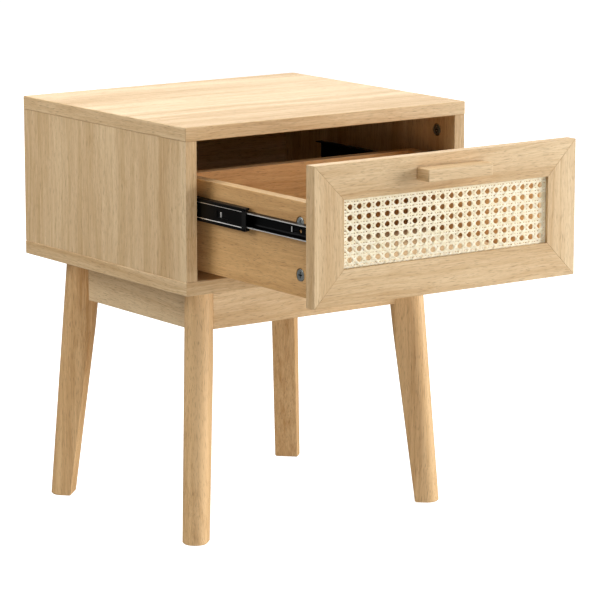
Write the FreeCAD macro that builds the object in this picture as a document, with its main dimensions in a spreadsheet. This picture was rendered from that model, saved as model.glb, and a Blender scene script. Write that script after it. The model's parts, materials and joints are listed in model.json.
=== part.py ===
import FreeCAD, Part
import Sketcher
import math
import os
import re

# A small nightstand: a wooden box of four panels on four splayed, D-shaped legs, with one
# inset drawer whose front is a mitred frame around a panel of woven cane.
#
# Frame: millimetres, +X to the right seen from the front, +Y to the back, +Z up. The origin
# is on the floor, midway between the four feet. The drawer is stored part open, and every
# piece that runs with it takes its place from drawer_open.

# Each row is one size: its alias in the sheet, its value and what it measures.
SIZES = (
    # cabinet box
    ("cab_width", 400, "outside width of the top and bottom panels"),
    ("cab_depth", 350, "outside depth of the top and bottom panels"),
    ("panel_thick", 16, "thickness of the top and bottom panels"),
    ("side_height", 160, "height of the side panels, which is the clear height inside"),
    ("side_thick", 15, "thickness of the side panels"),
    ("side_inset", 0.5, "side panels stand in from the edges of the top and bottom panels"),
    ("panel_edge", 1.2, "rounding of the edges of the top and bottom panels"),
    ("wood_edge", 0.8, "rounding of the edges of the other boards"),
    ("back_thick", 5, "thickness of the back panel"),
    ("back_rebate", 6, "width of the rebate that the back panel lies in"),
    ("board_gap", 0.5, "play around the back panel and the cane in their rebates"),
    # legs and aprons
    ("leg_height", 298, "floor to the underside of the bottom panel"),
    ("leg_radius", 15, "radius of the round outer end of a leg, half the leg's width"),
    ("leg_edge", 2, "rounding of the two inner edges of a leg"),
    ("foot_inset", 28, "diagonal distance from the cabinet's corner to a leg, at the floor"),
    ("foot_depth", 27.5, "diagonal depth of a leg at the floor"),
    ("head_inset", 52, "diagonal distance from the cabinet's corner to a leg, at its head"),
    ("head_depth", 43, "diagonal depth of a leg at its head"),
    ("foot_bevel", 1.5, "bevel round the sole of a leg"),
    ("apron_inset", 46.5, "aprons stand in from the edges of the bottom panel"),
    ("apron_end", 68, "distance from the cabinet's edge to the end of an apron"),
    ("apron_height", 53, "height of the aprons"),
    ("apron_thick", 16, "thickness of the aprons"),
    ("brace_start", 98, "diagonal distance from the cabinet's corner to a corner brace"),
    ("brace_thick", 25, "thickness of a corner brace along the diagonal"),
    ("brace_height", 40, "height of a corner brace"),
    ("leg_bolt_radius", 3, "radius of a leg bolt"),
    ("leg_bolt_grip", 32, "length of a leg bolt inside the leg"),
    ("leg_bolt_drop", 29, "leg bolt's axis below the bottom panel"),
    ("nut_radius", 5.8, "radius across the corners of a leg bolt's nut"),
    ("nut_thick", 5, "thickness of a leg bolt's nut"),
    ("washer_radius", 9, "radius of a leg bolt's washer"),
    ("washer_thick", 1.6, "thickness of a leg bolt's washer"),
    ("bolt_tail", 3, "leg bolt's length past its nut"),
    ("brace_screw_spread", 28, "distance between the two screws of a corner brace"),
    ("apron_dowel_radius", 3, "radius of an apron's dowels"),
    ("apron_dowel_length", 24, "length of an apron's dowels"),
    ("front_dowel_drop", 10, "front and back aprons' dowels below the bottom panel"),
    ("side_dowel_drop", 18, "side aprons' dowels below the bottom panel"),
    # joints of the cabinet box
    ("cam_radius", 7.5, "radius of a cam lock"),
    ("cam_past_bolt", 1, "how far a cam lock goes in past its bolt"),
    ("cam_set", 21, "cam lock's centre from the end of its side panel"),
    ("cam_edge_set", 35, "cam lock's centre from the front or back edge"),
    ("cam_recess", 8, "length of the cross recess in a cam lock"),
    ("cam_recess_width", 1.6, "width of the cross recess in a cam lock"),
    ("cam_recess_depth", 1.5, "depth of the cross recess in a cam lock"),
    ("cam_bolt_radius", 3, "radius of a cam lock's bolt"),
    ("cam_bolt_grip", 9, "cam bolt's length inside the piece that it holds"),
    ("dowel_radius", 4, "radius of a box dowel"),
    ("dowel_length", 20, "length of a box dowel"),
    ("dowel_spread", 160, "distance between the two dowels of a box joint"),
    ("pin_radius", 0.9, "radius of a back panel pin"),
    ("pin_end_set", 37, "last back panel pin from the side panel's inner face"),
    ("pin_head_radius", 2, "radius of a back panel pin's head"),
    ("pin_head_thick", 0.8, "thickness of a back panel pin's head"),
    # drawer
    ("drawer_open", 221, "how far the drawer stands open as stored"),
    ("front_thick", 15, "thickness of the drawer front"),
    ("front_side_gap", 1.5, "gap at each side of the drawer front"),
    ("front_end_gap", 2, "gap above and below the drawer front"),
    ("frame_width", 40, "width of the rails and stiles of the drawer front"),
    ("cane_lip", 4, "front frame's thickness in front of the cane"),
    ("cane_rebate", 8, "width of the rebate that the cane lies in"),
    ("cane_thick", 2, "thickness of the woven cane"),
    ("drawer_side_height", 105, "height of the drawer's sides"),
    ("drawer_side_thick", 14, "thickness of the drawer's sides"),
    ("drawer_length", 275, "length of the drawer's sides"),
    ("drawer_lift", 9, "drawer's sides above the bottom panel"),
    ("drawer_back_thick", 14, "thickness of the drawer's back"),
    ("back_screw_low", 18, "drawer back's lower screws above the drawer's bottom"),
    ("back_screw_high", 12, "drawer back's upper screws below the top of the sides"),
    ("bottom_screw_end_set", 47, "drawer bottom's outer screws from the drawer's side"),
    ("bottom_thick", 5, "thickness of the drawer's bottom"),
    ("bottom_raise", 10, "drawer's bottom above the lower edge of its sides"),
    ("bottom_groove", 6, "depth of the grooves that hold the drawer's bottom"),
    ("drawer_cam_set", 26, "drawer cam lock's centre from the end of its side"),
    ("drawer_cam_edge", 24, "drawer cam lock's centre from the edge of its side"),
    ("handle_length", 90, "length of the handle"),
    ("handle_height", 14, "height of the handle"),
    ("handle_reach", 22, "how far the handle stands out from the drawer front"),
    ("handle_edge", 1.2, "rounding of the handle's edges"),
    ("handle_screw_spread", 64, "distance between the handle's two screws"),
    ("handle_screw_grip", 14, "length of a handle screw inside the handle"),
    # ball-bearing slides; heights are measured from the slide's middle line
    ("slide_thick", 12.7, "thickness of a slide, cabinet side to drawer side"),
    ("slide_length", 250, "length of a slide, and its travel"),
    ("slide_height", 82, "slide's middle line above the bottom panel"),
    ("slide_set", 17, "slide's front end behind the cabinet's front"),
    ("slide_wall", 1.2, "thickness of the slide members' steel"),
    ("outer_half", 17.5, "half the height of the cabinet member"),
    ("outer_reach", 9.5, "width of the cabinet member's flanges"),
    ("middle_half", 13, "half the height of the middle member"),
    ("middle_start", 2, "gap between the cabinet's side and the middle member's web"),
    ("middle_reach", 8.2, "width of the middle member's flanges"),
    ("middle_set", 9.5, "middle member's front end behind the slide's front end"),
    ("bumper_length", 7.5, "length of the plastic end of the middle member"),
    ("bumper_wall", 3.2, "thickness of the plastic end's flanges"),
    ("inner_half", 8.5, "half the height of the drawer member"),
    ("inner_reach", 8.7, "width of the drawer member's flanges"),
    ("ball_radius", 1.3, "radius of the bearing balls"),
    ("ball_pitch", 10, "distance between bearing balls"),
    ("cage_thick", 0.5, "thickness of a ball cage's strips"),
    ("cage_reach", 6, "width of a ball cage's strips"),
    ("cage_length", 100, "length of a ball cage"),
    ("cage_set", 75, "ball cage's front end behind the slide's front end, drawer shut"),
    ("slide_screw_set", 40, "first slide screw from the slide's front end"),
    ("spare_hole_set", 22, "spare hole from the drawer member's front end"),
    ("spare_hole_radius", 2.6, "radius of the spare hole in the drawer member"),
    # screws
    ("screw_radius", 1.8, "radius of the wood screws"),
    ("screw_head_radius", 3.4, "radius of the wood screws' heads"),
    ("screw_head_thick", 2.2, "thickness of the wood screws' heads"),
    ("screw_grip", 10, "length of a slide or drawer screw inside the wood"),
    ("hole_play", 0.15, "a hole's radius is this much larger than what it holds"),
)
ALIASES = {row[0] for row in SIZES}
BACK_PINS = 4

document = FreeCAD.newDocument("Nightstand")
sheet = document.addObject("Spreadsheet::Sheet", "Sizes")
nodes = []

# Places that several pieces share, in terms of the sheet's sizes.
INNER = "(cab_width/2 - side_inset - side_thick)"
FRONT = "(-cab_depth/2)"
FLOOR = "(leg_height + panel_thick)"
DRAWER_Y = "(front_thick - cab_depth/2 - drawer_open)"
DRAWER_X = f"({INNER} - slide_thick)"
FRONT_X = f"({INNER} - front_side_gap)"
FRONT_TOP = "(side_height - front_end_gap)"
SLIDE_Z = f"({FLOOR} + slide_height)"
SLIDE_FRONT = "(slide_set - cab_depth/2)"
RAIL_HEIGHT = f"({FRONT_TOP} - frame_width/2)"
DRAWER = ("0", DRAWER_Y, FLOOR)
CABINET_CAM = "(side_thick/2 + cam_bolt_radius + cam_past_bolt)"
DRAWER_CAM = "(drawer_side_thick/2 + cam_bolt_radius + cam_past_bolt)"
APRON_MIDDLE = "(apron_inset + apron_thick/2)"
LEG_FACE = ("(foot_inset + foot_depth + (head_inset + head_depth - foot_inset - foot_depth)"
            "*(leg_height - leg_bolt_drop)/leg_height)")
LEG_CORNERS = (
    ("front_left", -1, -1, 45),
    ("front_right", 1, -1, 135),
    ("back_right", 1, 1, 225),
    ("back_left", -1, 1, 315),
)
SIDES = (("left", -1), ("right", 1))


def fill_sheet():
    for row, (alias, size, meaning) in enumerate(SIZES, start=1):
        sheet.set(f"A{row}", alias.replace("_", " "))
        sheet.set(f"B{row}", str(size))
        sheet.set(f"C{row}", meaning)
        sheet.setAlias(f"B{row}", alias)
    document.recompute()


def formula(text):
    """The text as an expression, with each size named as the sheet's cell."""
    return re.sub(r"[a-z_]+", lambda m: f"Sizes.{m[0]}" if m[0] in ALIASES else m[0], str(text))


def value(text):
    return float(sheet.evalExpression(formula(text)))


def place(thing, at, turn=None):
    """Put an object at a point given by three expressions, turned about its own origin."""
    if turn is not None:
        thing.Placement = FreeCAD.Placement(FreeCAD.Vector(), turn)
    for axis, text in zip("xyz", at):
        thing.setExpression(f"Placement.Base.{axis}", formula(text))


def pointing(axis):
    return FreeCAD.Rotation(FreeCAD.Vector(0, 0, 1), FreeCAD.Vector(*axis))


def body(label, at=("0", "0", "0"), turn=0):
    """A new sub-part, with its own frame at a point and turned about Z by degrees."""
    made = document.addObject("PartDesign::Body", label)
    made.Label = label
    place(made, at, FreeCAD.Rotation(FreeCAD.Vector(0, 0, 1), turn))
    nodes.append(made)
    return made


def block(part, size, at, cut=False):
    kind = "SubtractiveBox" if cut else "AdditiveBox"
    feature = part.newObject(f"PartDesign::{kind}", "Block")
    for name, text in zip(("Length", "Width", "Height"), size):
        feature.setExpression(name, formula(text))
    place(feature, at)
    return feature


def bore(part, radius, depth, at, axis):
    """A round hole from a point along an axis."""
    feature = part.newObject("PartDesign::SubtractiveCylinder", "Bore")
    feature.setExpression("Radius", formula(radius))
    feature.setExpression("Height", formula(depth))
    place(feature, at, pointing(axis))
    return feature


def soften(part, feature, radius):
    """Round every edge of a block."""
    document.recompute()
    fillet = part.newObject("PartDesign::Fillet", "Softened")
    fillet.Base = (feature, [""])
    fillet.UseAllEdges = True
    fillet.setExpression("Radius", formula(radius))
    return fillet


def new_sketch(part, role, lift=None):
    """A sketch on one of the part's own planes, or lifted off it."""
    sketch = part.newObject("Sketcher::SketchObject", "Outline")
    plane = next(p for p in part.Origin.OriginFeatures if p.Role == role)
    sketch.AttachmentSupport = [(plane, "")]
    sketch.MapMode = "FlatFace"
    if lift is not None:
        sketch.setExpression("AttachmentOffset.Base.z", formula(lift))
    return sketch


def measure(sketch, kind, first, second, text):
    """Hold a point of the sketch at a signed distance from the sketch's origin."""
    size = value(text)
    if abs(size) < 1e-9:
        on_axis = -2 if kind == "DistanceX" else -1
        sketch.addConstraint(Sketcher.Constraint("PointOnObject", first, second, on_axis))
        return
    index = sketch.addConstraint(Sketcher.Constraint(kind, -1, 1, first, second, size))
    sketch.setExpression(f"Constraints[{index}]", formula(text))


def outline(part, role, points):
    """A closed outline of straight lines through points given as pairs of expressions."""
    sketch = new_sketch(part, role)
    corners = [FreeCAD.Vector(value(x), value(y), 0) for x, y in points]
    count = len(corners)
    for i in range(count):
        sketch.addGeometry(Part.LineSegment(corners[i], corners[(i + 1) % count]), False)
    for i in range(count):
        sketch.addConstraint(Sketcher.Constraint("Coincident", i, 2, (i + 1) % count, 1))
    for i, (x, y) in enumerate(points):
        measure(sketch, "DistanceX", i, 1, x)
        measure(sketch, "DistanceY", i, 1, y)
    return sketch


def pad(part, sketch, length):
    feature = part.newObject("PartDesign::Pad", "Pad")
    feature.Profile = sketch
    feature.setExpression("Length", formula(length))
    return feature


def cylinder(radius, length, at, axis):
    made = document.addObject("Part::Cylinder", "Rod")
    made.setExpression("Radius", formula(radius))
    made.setExpression("Height", formula(length))
    place(made, at, pointing(axis))
    return made


def box(size, at):
    made = document.addObject("Part::Box", "Bar")
    for name, text in zip(("Length", "Width", "Height"), size):
        made.setExpression(name, formula(text))
    place(made, at)
    return made


def fused(pieces):
    made = document.addObject("Part::MultiFuse", "Fused")
    made.Shapes = pieces
    return made


def cut_from(base, tool):
    made = document.addObject("Part::Cut", "Cut")
    made.Base = base
    made.Tool = tool
    return made


def group(label, pieces):
    """Separate solids that share one node."""
    made = document.addObject("Part::Compound", label)
    made.Label = label
    made.Links = pieces
    nodes.append(made)


def screw(at, axis, length, head_thick="screw_head_thick"):
    """A screw whose head's top is at a point, pointing along an axis."""
    head = document.addObject("Part::Cone", "Head")
    head.setExpression("Radius1", formula("screw_head_radius"))
    head.setExpression("Radius2", formula("screw_radius"))
    head.setExpression("Height", formula(head_thick))
    place(head, at, pointing(axis))
    shank = cylinder("screw_radius", length, at, axis)
    return fused([head, shank])


# --- cabinet box -------------------------------------------------------------------------


def make_cross_panel(label, base, inner_side):
    """The top or the bottom panel; inner_side is +1 where the inside is above it."""
    part = body(label, ("0", "0", base))
    board = block(part, ("cab_width", "cab_depth", "panel_thick"),
                  ("-cab_width/2", FRONT, "0"))
    soften(part, board, "panel_edge")
    face = "panel_thick" if inner_side > 0 else "0"
    rebate_z = "panel_thick - back_rebate" if inner_side > 0 else "0"
    reach = f"({INNER} + back_rebate)"
    block(part, (f"2*{reach}", "back_thick", "back_rebate"),
          (f"-{reach}", "cab_depth/2 - back_thick", rebate_z), cut=True)
    inward = (0, 0, -inner_side)
    for side in (-1, 1):
        joint_x = f"{side}*({INNER} + side_thick/2)"
        for end in (-1, 1):
            bore(part, "cam_bolt_radius + hole_play", "cam_bolt_grip + board_gap",
                 (joint_x, f"{end}*(cab_depth/2 - cam_edge_set)", face), inward)
            bore(part, "dowel_radius + hole_play", "dowel_length/2 + board_gap",
                 (joint_x, f"{end}*dowel_spread/2", face), inward)
    return part


def make_bottom_panel():
    part = make_cross_panel("bottom_panel", "leg_height", 1)
    for _, side_x, side_y, _ in LEG_CORNERS:
        for offset in (-1, 1):
            x, y = brace_screw_place(side_x, side_y, offset)
            bore(part, "screw_radius + hole_play", "screw_grip + board_gap",
                 (x, y, "0"), (0, 0, 1))


def make_side_panel(name, side):
    part = body(f"{name}_side_panel", ("0", "0", FLOOR))
    inner_x = f"{side}*{INNER}"
    low_x = inner_x if side > 0 else f"-({INNER} + side_thick)"
    block(part, ("side_thick", "cab_depth - side_inset", "side_height"),
          (low_x, f"{FRONT} + side_inset", "0"))
    rebate_x = inner_x if side > 0 else f"-({INNER} + back_rebate)"
    block(part, ("back_rebate", "back_thick", "side_height"),
          (rebate_x, "cab_depth/2 - back_thick", "0"), cut=True)
    outward = (side, 0, 0)
    joint_x = f"{side}*({INNER} + side_thick/2)"
    for foot, up in (("0", 1), ("side_height", -1)):
        for end in (-1, 1):
            cam_y = f"{end}*(cab_depth/2 - cam_edge_set)"
            bore(part, "cam_radius + hole_play", f"{CABINET_CAM} + hole_play",
                 (inner_x, cam_y, f"{foot} + {up}*cam_set"), outward)
            bore(part, "cam_bolt_radius + hole_play", "cam_set",
                 (joint_x, cam_y, foot), (0, 0, up))
            bore(part, "dowel_radius + hole_play", "dowel_length/2 + board_gap",
                 (joint_x, f"{end}*dowel_spread/2", foot), (0, 0, up))
    for y in slide_screw_places():
        bore(part, "screw_radius + hole_play", "screw_grip + board_gap",
             (inner_x, f"{SLIDE_FRONT} + {y}", "slide_height"), outward)


def make_back_panel():
    part = body("back_panel", ("0", "cab_depth/2 - back_thick", FLOOR))
    half = f"({INNER} + back_rebate - board_gap)"
    block(part, (f"2*{half}", "back_thick", "side_height + 2*(back_rebate - board_gap)"),
          (f"-{half}", "0", "board_gap - back_rebate"))
    for x, z in back_pin_places():
        height = f"{z} - {FLOOR}"
        bore(part, "pin_radius + hole_play", "back_thick", (x, "0", height), (0, 1, 0))
        bore(part, "pin_head_radius + hole_play", "pin_head_thick",
             (x, "back_thick", height), (0, -1, 0))


def back_pin_places():
    """Pins along the upper and lower edges of the back panel, into the box's panels."""
    edge = "back_rebate/2"
    for i in range(BACK_PINS):
        for z in (f"{FLOOR} - {edge}", f"{FLOOR} + side_height + {edge}"):
            yield f"({2*i}/{BACK_PINS - 1} - 1)*({INNER} - pin_end_set)", z


def make_back_pins():
    """Pins with their heads flush. Their shanks end at the bottom of the rebate, where the
    wood closes on them."""
    pins = []
    for x, z in back_pin_places():
        head_y = "cab_depth/2"
        head = cylinder("pin_head_radius", "pin_head_thick", (x, head_y, z), (0, -1, 0))
        shank = cylinder("pin_radius", "back_thick", (x, head_y, z), (0, -1, 0))
        pins.append(fused([head, shank]))
    group("back_panel_pins", pins)


def cam_lock(face_centre, axis, thick):
    """A cam lock sunk along an X axis, with a cross recess in the face that shows."""
    x, y, z = face_centre
    disc = cylinder("cam_radius", thick, face_centre, axis)
    low_x = x if axis[0] > 0 else f"{x} - cam_recess_depth"
    bars = [
        box(("cam_recess_depth", "cam_recess", "cam_recess_width"),
            (low_x, f"{y} - cam_recess/2", f"{z} - cam_recess_width/2")),
        box(("cam_recess_depth", "cam_recess_width", "cam_recess"),
            (low_x, f"{y} - cam_recess_width/2", f"{z} - cam_recess/2")),
    ]
    return cut_from(disc, fused(bars))


def make_cabinet_fittings():
    """Cam locks, their bolts and the dowels that hold the four panels together."""
    cams, bolts, dowels = [], [], []
    for _, side in SIDES:
        joint_x = f"{side}*({INNER} + side_thick/2)"
        for foot, up in ((FLOOR, 1), (f"({FLOOR} + side_height)", -1)):
            for end in (-1, 1):
                cam_y = f"{end}*(cab_depth/2 - cam_edge_set)"
                cams.append(cam_lock((f"{side}*{INNER}", cam_y, f"{foot} + {up}*cam_set"),
                                     (side, 0, 0), CABINET_CAM))
                bolts.append(cylinder("cam_bolt_radius",
                                      "cam_bolt_grip + cam_set - cam_radius",
                                      (joint_x, cam_y, f"{foot} - {up}*cam_bolt_grip"),
                                      (0, 0, up)))
                dowels.append(cylinder("dowel_radius", "dowel_length",
                                       (joint_x, f"{end}*dowel_spread/2",
                                        f"{foot} - {up}*dowel_length/2"), (0, 0, up)))
    group("cabinet_cam_locks", cams)
    group("cabinet_cam_bolts", bolts)
    group("panel_dowels", dowels)


# --- legs and aprons ---------------------------------------------------------------------


def corner_place(side_x, side_y, distance, across="0"):
    """A point on the diagonal of a cabinet corner, and off it by another distance."""
    x = f"{side_x}*(cab_width/2 - ({distance} - ({across}))/sqrt(2))"
    y = f"{side_y}*(cab_depth/2 - ({distance} + ({across}))/sqrt(2))"
    return x, y


def brace_screw_place(side_x, side_y, offset):
    return corner_place(side_x, side_y, "brace_start + brace_thick/2",
                        f"{offset}*brace_screw_spread/2")


def leg_outline(part, inset, depth, lift=None, less="0"):
    """A D: a half circle at the outer end, then straight sides to a flat inner face.

    The outline is smaller all round by the size in less."""
    sketch = new_sketch(part, "XY_Plane", lift)
    round_end, corner = f"leg_radius - {less}", f"leg_edge - {less}"
    inner_face = f"{inset} + {depth} - {less}"
    radius, edge, flat = value(round_end), value(corner), value(inner_face)
    centre = value(f"{inset} + leg_radius")

    def arc(x, y, size, start, end):
        circle = Part.Circle(FreeCAD.Vector(x, y, 0), FreeCAD.Vector(0, 0, 1), size)
        return Part.ArcOfCircle(circle, math.radians(start), math.radians(end))

    def line(x0, y0, x1, y1):
        return Part.LineSegment(FreeCAD.Vector(x0, y0, 0), FreeCAD.Vector(x1, y1, 0))

    sketch.addGeometry([
        arc(centre, 0, radius, 90, 270),
        line(centre, -radius, flat - edge, -radius),
        arc(flat - edge, edge - radius, edge, 270, 360),
        line(flat, edge - radius, flat, radius - edge),
        arc(flat - edge, radius - edge, edge, 0, 90),
        line(flat - edge, radius, centre, radius),
    ], False)
    for first in range(6):
        sketch.addConstraint(Sketcher.Constraint("Tangent", first, 2, (first + 1) % 6, 1))
    sketch.addConstraint(Sketcher.Constraint("Horizontal", 1))
    sketch.addConstraint(Sketcher.Constraint("PointOnObject", 0, 3, -1))
    sketch.addConstraint(Sketcher.Constraint("Equal", 2, 4))
    sketch.addConstraint(Sketcher.Constraint("Symmetric", 3, 1, 3, 2, -1))
    for geometry, text in ((0, round_end), (2, corner)):
        index = sketch.addConstraint(Sketcher.Constraint("Radius", geometry, value(text)))
        sketch.setExpression(f"Constraints[{index}]", formula(text))
    measure(sketch, "DistanceX", 0, 3, f"{inset} + leg_radius")
    measure(sketch, "DistanceX", 3, 1, inner_face)
    return sketch


def make_leg(name, side_x, side_y, turn):
    """In the leg's frame X runs inward along the diagonal from the cabinet's corner."""
    part = body(f"{name}_leg", (f"{side_x}*cab_width/2", f"{side_y}*cab_depth/2", "0"), turn)
    loft = part.newObject("PartDesign::AdditiveLoft", "Taper")
    loft.Profile = leg_outline(part, "foot_inset", "foot_depth", less="foot_bevel")
    loft.Sections = [leg_outline(part, "foot_inset", "foot_depth", "foot_bevel"),
                     leg_outline(part, "head_inset", "head_depth", "leg_height")]
    loft.Ruled = True
    # Two plumb faces, square to the aprons' ends, cut the inner corners of the head.
    apex, far = "sqrt(2)*apron_end", "2*leg_radius"
    waste = outline(part, "XY_Plane", (
        (apex, "0"), (f"{apex} - {far}", far), (f"{apex} + {far}", far),
        (f"{apex} + {far}", f"-{far}"), (f"{apex} - {far}", f"-{far}")))
    seat = part.newObject("PartDesign::Pocket", "ApronSeats")
    seat.Profile = waste
    seat.Reversed = True
    seat.setExpression("Length", formula("leg_height"))
    # The bolt's hole starts past the sloping inner face, so that it opens all round.
    bore(part, "leg_bolt_radius + hole_play",
         f"{apex} - {LEG_FACE} + leg_bolt_grip + board_gap",
         (apex, "0", "leg_height - leg_bolt_drop"), (-1, 0, 0))
    front_side = -side_x * side_y
    for side, drop in ((front_side, "front_dowel_drop"), (-front_side, "side_dowel_drop")):
        bore(part, "apron_dowel_radius + hole_play", "apron_dowel_length/2 + board_gap",
             (f"(apron_end + {APRON_MIDDLE})/sqrt(2)",
              f"{side}*(apron_end - {APRON_MIDDLE})/sqrt(2)", f"leg_height - {drop}"),
             (-1, -side, 0))


def make_aprons():
    dowels = []
    for name, side in (("front", -1), ("back", 1)):
        part = body(f"{name}_apron", ("0", "0", "leg_height - apron_height"))
        half = "(cab_width/2 - apron_end)"
        low_y = "apron_inset - cab_depth/2"
        if side > 0:
            low_y = "cab_depth/2 - apron_inset - apron_thick"
        board = block(part, (f"2*{half}", "apron_thick", "apron_height"),
                      (f"-{half}", low_y, "0"))
        soften(part, board, "wood_edge")
        middle = f"{side}*(cab_depth/2 - {APRON_MIDDLE})"
        for end in (-1, 1):
            bore(part, "apron_dowel_radius + hole_play", "apron_dowel_length/2 + board_gap",
                 (f"{end}*{half}", middle, "apron_height - front_dowel_drop"), (-end, 0, 0))
            dowels.append(cylinder("apron_dowel_radius", "apron_dowel_length",
                                   (f"{end}*({half} + apron_dowel_length/2)", middle,
                                    "leg_height - front_dowel_drop"), (-end, 0, 0)))
    for name, side in SIDES:
        part = body(f"{name}_apron", ("0", "0", "leg_height - apron_height"))
        half = "(cab_depth/2 - apron_end)"
        low_x = "apron_inset - cab_width/2"
        if side > 0:
            low_x = "cab_width/2 - apron_inset - apron_thick"
        board = block(part, ("apron_thick", f"2*{half}", "apron_height"),
                      (low_x, f"-{half}", "0"))
        soften(part, board, "wood_edge")
        middle = f"{side}*(cab_width/2 - {APRON_MIDDLE})"
        for end in (-1, 1):
            bore(part, "apron_dowel_radius + hole_play", "apron_dowel_length/2 + board_gap",
                 (middle, f"{end}*{half}", "apron_height - side_dowel_drop"), (0, -end, 0))
            dowels.append(cylinder("apron_dowel_radius", "apron_dowel_length",
                                   (middle, f"{end}*({half} + apron_dowel_length/2)",
                                    "leg_height - side_dowel_drop"), (0, -end, 0)))
    group("apron_dowels", dowels)


def make_brace(name, side_x, side_y, turn):
    """A block across the corner behind the leg, between the inner faces of two aprons."""
    part = body(f"{name}_brace", (f"{side_x}*cab_width/2", f"{side_y}*cab_depth/2",
                                  "leg_height - brace_height"), turn)
    end = "(brace_start + brace_thick)"
    aprons = "sqrt(2)*(apron_inset + apron_thick)"
    shape = outline(part, "XY_Plane", (
        ("brace_start", f"{aprons} - brace_start"), (end, f"{aprons} - {end}"),
        (end, f"{end} - {aprons}"), ("brace_start", f"brace_start - {aprons}")))
    pad(part, shape, "brace_height")
    bore(part, "leg_bolt_radius + hole_play", "brace_thick",
         ("brace_start", "0", "brace_height - leg_bolt_drop"), (1, 0, 0))
    for offset in (-1, 1):
        at = ("brace_start + brace_thick/2", f"{offset}*brace_screw_spread/2", "0")
        bore(part, "screw_radius + hole_play", "brace_height", at, (0, 0, 1))
        bore(part, "screw_head_radius + hole_play", "screw_head_thick + hole_play",
             at, (0, 0, 1))


def make_leg_fittings():
    """Leg bolts with their washers and nuts, and the screws that hold the braces up."""
    bolts, washers, nuts, screws = [], [], [], []
    height = "leg_height - leg_bolt_drop"
    for _, side_x, side_y, _ in LEG_CORNERS:
        inward = (-side_x, -side_y, 0)

        def spot(distance):
            return (*corner_place(side_x, side_y, distance), height)

        seat = "brace_start + brace_thick"
        tail = f"{seat} + washer_thick + nut_thick + bolt_tail"
        start = f"{LEG_FACE} - leg_bolt_grip"
        bolts.append(cylinder("leg_bolt_radius", f"{tail} - ({start})", spot(start), inward))
        washers.append(cut_from(
            cylinder("washer_radius", "washer_thick", spot(seat), inward),
            cylinder("leg_bolt_radius + hole_play", "washer_thick", spot(seat), inward)))
        nut = document.addObject("Part::Prism", "Hexagon")
        nut.Polygon = 6
        nut.setExpression("Circumradius", formula("nut_radius"))
        nut.setExpression("Height", formula("nut_thick"))
        place(nut, spot(f"{seat} + washer_thick"), pointing(inward))
        nuts.append(cut_from(nut, cylinder("leg_bolt_radius + hole_play", "nut_thick",
                                           spot(f"{seat} + washer_thick"), inward)))
        for offset in (-1, 1):
            x, y = brace_screw_place(side_x, side_y, offset)
            screws.append(screw((x, y, "leg_height - brace_height"), (0, 0, 1),
                                "brace_height + screw_grip"))
    group("leg_bolts", bolts)
    group("leg_bolt_washers", washers)
    group("leg_bolt_nuts", nuts)
    group("brace_screws", screws)


# --- drawer ------------------------------------------------------------------------------


def make_front_frame():
    """Two rails and two stiles, mitred at the corners and rebated behind for the cane."""
    out_x, out_top, out_low = FRONT_X, FRONT_TOP, "front_end_gap"
    in_x = f"({FRONT_X} - frame_width)"
    in_top, in_low = f"({FRONT_TOP} - frame_width)", "(front_end_gap + frame_width)"
    pieces = (
        ("drawer_front_top_rail", (f"-{out_x}", out_top), (out_x, out_top),
         (in_x, in_top), (f"-{in_x}", in_top)),
        ("drawer_front_bottom_rail", (f"-{out_x}", out_low), (out_x, out_low),
         (in_x, in_low), (f"-{in_x}", in_low)),
        ("drawer_front_left_stile", (f"-{out_x}", out_low), (f"-{out_x}", out_top),
         (f"-{in_x}", in_top), (f"-{in_x}", in_low)),
        ("drawer_front_right_stile", (out_x, out_low), (out_x, out_top),
         (in_x, in_top), (in_x, in_low)),
    )
    deep = "(front_thick - cane_lip)"
    for label, *corners in pieces:
        part = body(label, DRAWER)
        pad(part, outline(part, "XZ_Plane", corners), "front_thick")
        block(part, (f"2*({in_x} + cane_rebate)", deep,
                     f"{in_top} - {in_low} + 2*cane_rebate"),
              (f"-({in_x} + cane_rebate)", f"-{deep}", f"{in_low} - cane_rebate"), cut=True)
        if "rail" in label:
            if "top" in label:
                for end in (-1, 1):
                    bore(part, "screw_radius + hole_play", "front_thick",
                         (f"{end}*handle_screw_spread/2", "0", RAIL_HEIGHT), (0, -1, 0))
            continue
        side = -1 if "left" in label else 1
        for z in drawer_cam_heights():
            bore(part, "cam_bolt_radius + hole_play", "cam_bolt_grip + board_gap",
                 (f"{side}*({DRAWER_X} - drawer_side_thick/2)", "0", z), (0, -1, 0))


def make_cane():
    """The woven panel lies against the frame's lip, with four strips behind it."""
    half_x = f"({FRONT_X} - frame_width + cane_rebate - board_gap)"
    low = "(front_end_gap + frame_width - cane_rebate + board_gap)"
    top = f"({FRONT_TOP} - frame_width + cane_rebate - board_gap)"
    deep = "(front_thick - cane_lip)"
    part = body("cane_panel", DRAWER)
    block(part, (f"2*{half_x}", "cane_thick", f"{top} - {low}"), (f"-{half_x}", f"-{deep}", low))
    width = "(cane_rebate - board_gap)"
    thick = f"({deep} - cane_thick)"
    back = f"{DRAWER_Y} - {thick}"
    strips = []
    for z in (f"{FLOOR} + {low}", f"{FLOOR} + {top} - {width}"):
        strips.append(box((f"2*{half_x}", thick, width), (f"-{half_x}", back, z)))
    for x in (f"-{half_x}", f"{half_x} - {width}"):
        strips.append(box((width, thick, f"{top} - {low} - 2*{width}"),
                          (x, back, f"{FLOOR} + {low} + {width}")))
    group("cane_retainer_strips", strips)


def drawer_cam_heights():
    yield "drawer_lift + drawer_cam_edge"
    yield "drawer_lift + drawer_side_height - drawer_cam_edge"


def back_screw_heights():
    yield "drawer_lift + bottom_raise + back_screw_low"
    yield "drawer_lift + drawer_side_height - back_screw_high"


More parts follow.
